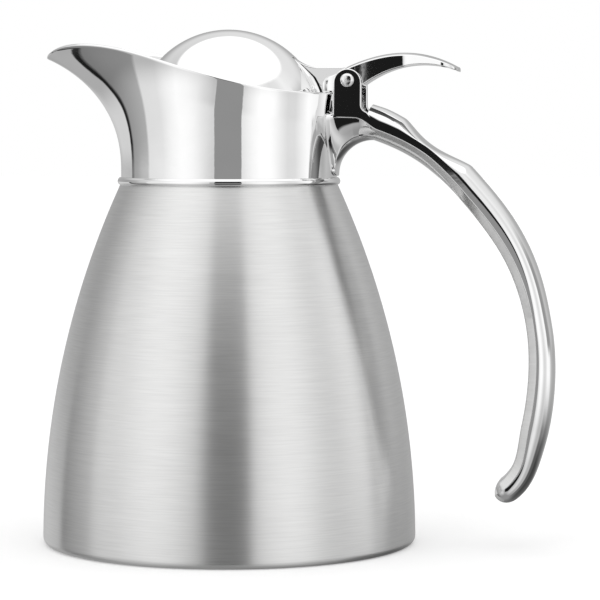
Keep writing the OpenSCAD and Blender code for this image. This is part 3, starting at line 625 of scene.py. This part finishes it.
def make_root():
    """The root: cheeks that spread to the collar, a sloping shield and a round underside."""
    rows, cheek_steps, foot_steps = 96, 16, 8
    back_r, start_x, spread_x = COLLAR_R - COLLAR_T / 2, COLLAR_R - 1.2, PIN_X - 1
    rings = []
    for i in range(rows + 1):
        s = (i / rows) ** 1.3
        x = mix(start_x, ROOT_END, s)
        low = root_under(x)
        spread = ROOT_SPREAD - math.sqrt(ROOT_SPREAD**2 - max(0.0, spread_x - x) ** 2)
        side = EAR_HW - 0.1 - PLAN_DRAFT * (x - PIN_X) + spread
        dip = 0.6 * (1 - clamp01((x - PIN_X + EAR_R) / 1.2))
        top = SLOT_FLOOR - dip - 0.95 * max(0.0, x - SLOT_END)
        edge = CHEEK_Z - 0.3 - 3.0 * smooth((x - 41) / 7)
        foot = mix(FOOT_HW, THROAT_HW, smooth((x - COLLAR_R) / 6))
        soft = min(2.4, 0.3 * (edge - low))
        half = [(0.0, top), (side - 0.8, top), (side - 0.5, top - 0.05), (side - 0.3, top - 0.3),
                (side - 0.25, top - 0.6), (side, edge + 0.25), (side, edge)]
        for k in range(1, cheek_steps + 1):
            a = k / cheek_steps
            bulge = 0.5 * math.sin(math.pi * a)
            half.append((mix(side, foot, a) + bulge, mix(edge, low + soft, a)))
        for k in range(1, foot_steps + 1):
            a = math.pi / 2 * k / foot_steps
            half.append((foot * math.cos(a), low + soft * (1 - math.sin(a))))
        ring = half[1:] + [(-y, z) for y, z in reversed(half[:-1])]
        rings.append([(mix(math.sqrt(back_r**2 - y * y), ROOT_END, s), y, z)
                      for y, z in ring])
    return skin("root", rings, sharp=CAST_SHARP)


# ---- lid ----

def make_dome():
    """The dome and its flange, turned from one profile that stops just short of the axis."""
    flange_top, inner_r, pole, edge = FLANGE_Z + FLANGE_T, DOME_R - DOME_T, 89.6, 0.2
    low = math.degrees(math.asin((flange_top - DOME_Z) / DOME_R))
    inner_low = math.degrees(math.asin((FLANGE_Z - DOME_Z) / inner_r))
    profile = arc(0, DOME_Z, DOME_R, pole, low, 90)
    profile += [(FLANGE_R - edge, flange_top), (FLANGE_R, flange_top - edge),
                (FLANGE_R, FLANGE_Z)]
    profile += arc(0, DOME_Z, inner_r, inner_low, pole, 60)
    return lathe("dome", profile)


def make_arm():
    """The arm behind the dome: hollow to the flat top, then round the knuckle."""
    sunk, inside_x, under_x = DOME_R - 0.25, FLANGE_R - 14, FLANGE_R - 1
    flat_x = math.sqrt((sunk + ARM_FILLET) ** 2 - (ARM_TOP + ARM_FILLET - DOME_Z) ** 2)
    touch = math.degrees(math.atan2(DOME_Z - ARM_TOP - ARM_FILLET, -flat_x)) % 360
    outline = [(inside_x, FLANGE_Z + 0.3), (under_x, FLANGE_Z + 0.3),
               (under_x, FOOT_Z + 0.5), (PIN_X, FOOT_Z + 0.4)]
    outline += arc(PIN_X, PIN_Z, KNUCKLE_R, -80, 100, 24)
    outline += [(PIN_X - 2.2, ARM_TOP)]
    outline += arc(flat_x, ARM_TOP + ARM_FILLET, ARM_FILLET, 270, touch, 24)
    outline += [(inside_x, 140.0)]
    return flatten_normals(plate("arm", outline, -ARM_HW, ARM_HW, 0.35, 0.35))


def make_arm_fillets():
    """A hollow on each side where the arm leaves the dome, widest at the flange."""
    rows, steps, low, top = 40, 16, FLANGE_Z + 0.3, ARM_TOP + 3.0
    fillets = []
    for side in (-1, 1):
        rings = []
        for i in range(rows + 1):
            z = mix(low, top, i / rows)
            dome_r = math.sqrt(DOME_R**2 - (z - DOME_Z) ** 2)
            r = 0.02 + ARM_SIDE_FILLET * clamp01((top - z) / 6) ** 1.2
            cy = ARM_HW + r
            cx = math.sqrt((dome_r + r) ** 2 - cy**2)
            start, end = math.pi * 1.5, math.pi + math.atan2(cy, cx)
            ring = [(cx + r * math.cos(a), cy + r * math.sin(a))
                    for a in (mix(start, end, k / steps) for k in range(steps + 1))]
            ring.append((ring[-1][0] - 0.3, ARM_HW - 0.5))
            rings.append([(x, side * y, z) for x, y in ring])
        fillets.append(skin("arm_fillet", rings))
    return fillets


# ---- lever ----

def lp(x, z):
    """A point of the lever, from shares of its reach and its rise beyond the pin."""
    return (PIN_X + LEVER_REACH * x, PIN_Z + LEVER_RISE * z)


LEVER_BACK = [lp(-0.139, 0.274), lp(0.253, 1.119), lp(0.633, 1.286), lp(0.994, 0.470)]
LEVER_BELLY = [lp(0.027, -0.488), lp(0.313, 0.512), lp(0.660, 0.833), lp(1.000, 0.310)]


def lever_top(x):
    """The lever's back, which rolls over in front of the pin down to the foot."""
    nose, join_x = PIN_X - FOOT_LEN, LEVER_BACK[0][0]
    if x < join_x:
        t = (join_x - x) / (join_x - nose)
        return LEVER_BACK[0][1] - 1.1 * t - 1.9 * t**5
    return curve_z(LEVER_BACK, min(x, LEVER_BACK[3][0]))


def lever_bottom(x):
    """The foot's flat underside, then the belly, at least the tip's thickness below the back."""
    if x < LEVER_BELLY[0][0]:
        return FOOT_Z
    belly = curve_z(LEVER_BELLY, min(x, LEVER_BELLY[3][0]))
    return min(lever_top(x) - TIP_T, max(FOOT_Z, belly))


def lever_half(x):
    """Half the lever's width: a rounded nose, a slight taper, and the pad that widens."""
    nose_r, tip_r = 8, 5
    nose = max(0.0, PIN_X - 3.6 - x)
    tip = max(0.0, x - (PIN_X + LEVER_REACH - tip_r))
    neck = LEVER_HW - PLAN_DRAFT * PAD_START
    s = (x - PIN_X - PAD_START) / (LEVER_REACH - PAD_START - tip_r)
    if s > 0:
        w = mix(neck, PAD_W / 2, min(1.0, 1.12 * s * s / (s + 0.12)))
    else:
        w = LEVER_HW - PLAN_DRAFT * max(0.0, x - PIN_X)
    return (w - (nose_r - math.sqrt(nose_r**2 - nose**2))
            - (tip_r - math.sqrt(max(0.0, tip_r**2 - tip**2))))


def lever_section(x):
    """The lever's outline across: a low crown, rounded upper edges and leaning sides."""
    steps = 10
    w, top, low = lever_half(x), lever_top(x), lever_bottom(x)
    edge = min(0.45, (top - low) / 4)
    dome = min(0.7, (top - low) / 4)
    lean = 1.5 * RISE_DRAFT * (top - low)
    flat, near = w - lean - edge, top - dome
    half = [(flat * i / steps, top - dome * (i / steps) ** 2) for i in range(steps + 1)]
    half += [(flat + edge * math.sin(a), near - edge + edge * math.cos(a))
             for a in (math.pi / 8 * i for i in (1, 2, 3, 4))]
    half += [(w - edge * math.sin(a) * 0.6, low + edge * math.cos(a) * 0.9)
             for a in (math.pi / 6 * i for i in range(4))]
    half += [(0.0, low)]
    return [(x, y, z) for y, z in half[1:] + [(-y, z) for y, z in reversed(half[:-1])]]


def make_lever():
    """The lever, with the slot that takes the lid's arm."""
    rows, run = 120, 0.1
    nose, tip = PIN_X - FOOT_LEN, PIN_X + LEVER_REACH
    xs = [mix(nose, tip, 0.5 - 0.5 * math.cos(math.pi * i / rows)) for i in range(rows + 1)]
    lever = skin("lever_polished", [lever_section(x) for x in xs], sharp=CAST_SHARP)
    cut(lever, block("arm_slot", (26, -ARM_HW - run, 130),
                     (PIN_X + KNUCKLE_R + run, ARM_HW + run, ARM_TOP + 0.05)))
    return flatten_normals(lever)


# ---- hinge pin ----

def make_pin():
    """The pin with a domed head at each end, just clear of the ears' leaning faces."""
    around, clear = 48, 0.12
    face = EAR_HW - RISE_DRAFT * (PIN_Z - CHEEK_Z) + clear
    head = [(0.02, 0.80), (0.7, 0.78), (1.3, 0.68), (1.75, 0.48), (2.0, 0.22), (2.05, 0.0)]
    profile = [(r, face + h) for r, h in head] + [(PIN_R, face)]
    both = profile + [(r, -y) for r, y in reversed(profile)]
    rings = [[(PIN_X + r * math.cos(a), y, PIN_Z + r * math.sin(a))
              for a in (2 * math.pi * j / around for j in range(around))] for r, y in both]
    return skin("pin", rings)


# ---- dressing: every CAD node gets its finish, and six pieces take over from a node ----

for node, slot_name in ((s["node"], s["material_slot"]) for s in frame["record"]["subparts"]):
    mesh = frame["nodes"][node].data
    mesh.materials.clear()
    mesh.materials.append(FINISHES[slot_name])

dress(make_body(), "carafe", "brushed_body", "outer_shell")
dress(make_collar(), "carafe", "polished_steel", "pour_collar")
dress(join([make_grip(), *make_ears(), make_root()], "handle_polished"),
      "carafe", "polished_cast", "handle")
dress(make_pin(), "carafe", "screw_steel", "hinge_pin")
dress(join([make_dome(), make_arm(), *make_arm_fillets()], "lid_polished"),
      "lid", "polished_steel", "lid_dome")
dress(make_lever(), "lid", "polished_cast", "thumb_lever")

# ---- floor, light and camera ----

def make_floor():
    """A white floor that takes the shadow; metal sees the studio in its place."""
    reach, white, glow_level = 6000, 0.90, 0.20
    floor = block("floor", (-reach, -reach, -1.0), (reach, reach, 0.0))
    floor.visible_glossy = False
    made = bpy.data.materials.new("floor_white")
    made.use_nodes = True
    nodes = Nodes(made.node_tree)
    out = nodes.add("OutputMaterial")
    matte = nodes.add("BsdfDiffuse")
    matte.inputs["Color"].default_value = (white, white, white, 1)
    glow = nodes.add("Emission")
    both = nodes.add("AddShader")
    seen = nodes.add("LightPath").outputs["Is Camera Ray"]
    nodes.link(nodes.math("MULTIPLY", seen, glow_level), glow.inputs["Strength"])
    nodes.link(matte.outputs[0], both.inputs[0])
    nodes.link(glow.outputs[0], both.inputs[1])
    nodes.link(both.outputs[0], out.inputs["Surface"])
    floor.data.materials.append(made)


def make_studio():
    """White to the camera; to everything else, soft boxes, a gap and dark cards."""
    world = bpy.data.worlds.new("studio")
    bpy.context.scene.world = world
    world.use_nodes = True
    nodes = Nodes(world.node_tree)
    out = nodes.add("OutputWorld")
    background = nodes.add("Background")
    background.inputs["Color"].default_value = (1, 1, 1, 1)
    turned = nodes.add("Mapping")
    turned.inputs["Rotation"].default_value = (0, 0, -math.radians(STUDIO_TURN))
    nodes.link(nodes.add("TexCoord").outputs["Generated"], turned.inputs["Vector"])
    split = nodes.add("SeparateXYZ")
    nodes.link(turned.outputs["Vector"], split.inputs[0])
    x, y, z = split.outputs
    turn = nodes.math("ARCTAN2", nodes.math("MULTIPLY", x, -1), nodes.math("MULTIPLY", y, -1))
    share = nodes.math("ADD", nodes.math("DIVIDE", turn, 2 * math.pi), 0.5)
    rise = nodes.math("MULTIPLY", nodes.math("ARCSINE", z), 180 / math.pi)
    degrees = nodes.math("MULTIPLY", turn, 180 / math.pi)

    def round_horizon(stops):
        return nodes.ramp(share, [((a + 180) / 360, (v, v, v)) for a, v in stops])

    def strip(left, right):
        return nodes.math("MULTIPLY", nodes.between(degrees, *left),
                          nodes.between(degrees, *right))

    def band(foot, top):
        return nodes.math("MULTIPLY", nodes.between(rise, *foot), nodes.between(rise, *top))

    level = nodes.blend(nodes.between(rise, *GROUND_FADE), round_horizon(GROUND),
                        round_horizon(HORIZON))
    level = nodes.blend(nodes.between(rise, *UPPER_FADE), level, round_horizon(UPPER))
    level = nodes.math("MULTIPLY", level, nodes.blend(nodes.between(rise, *DEEP_FADE),
                                                      round_horizon(DEEP), 1.0))
    level = nodes.blend(nodes.between(rise, *NADIR_FADE), NADIR, level)
    gap = nodes.blend(band(GREY_FOOT, GREY_TOP), GAP_BLACK, GAP_GREY)
    inside = strip((GAP[0] - GAP_SOFT, GAP[0] + GAP_SOFT), (GAP[1] + GAP_SOFT, GAP[1] - GAP_SOFT))
    level = nodes.blend(nodes.math("MULTIPLY", inside, band(GAP_FOOT, GAP_TOP)), level, gap)
    wide = strip((GAP[1], GAP[1] + GAP_SOFT), (WIDE_GAP + WIDE_SOFT, WIDE_GAP - WIDE_SOFT))
    level = nodes.blend(nodes.math("MULTIPLY", wide, band(BAND_FOOT, BAND_TOP)), level, GAP_BLACK)
    level = nodes.blend(nodes.between(rise, *PANEL_FADE), level, OVERHEAD)
    seen = nodes.add("LightPath").outputs["Is Camera Ray"]
    nodes.link(nodes.blend(seen, level, 1.0), background.inputs["Strength"])
    nodes.link(background.outputs[0], out.inputs["Surface"])


def make_camera():
    """The camera that was fitted to the photo."""
    camera = bpy.data.objects.new("camera", bpy.data.cameras.new("camera"))
    bpy.context.scene.collection.objects.link(camera)
    camera.location = CAMERA_PLACE
    camera.rotation_euler = Vector(CAMERA_AIM).to_track_quat("-Z", "Y").to_euler()
    camera.data.angle = math.radians(CAMERA_FOV)
    camera.data.clip_start, camera.data.clip_end = 0.05, 50
    bpy.context.scene.camera = camera


make_floor()
make_studio()
make_camera()
bpy.context.scene.view_settings.view_transform = "Standard"
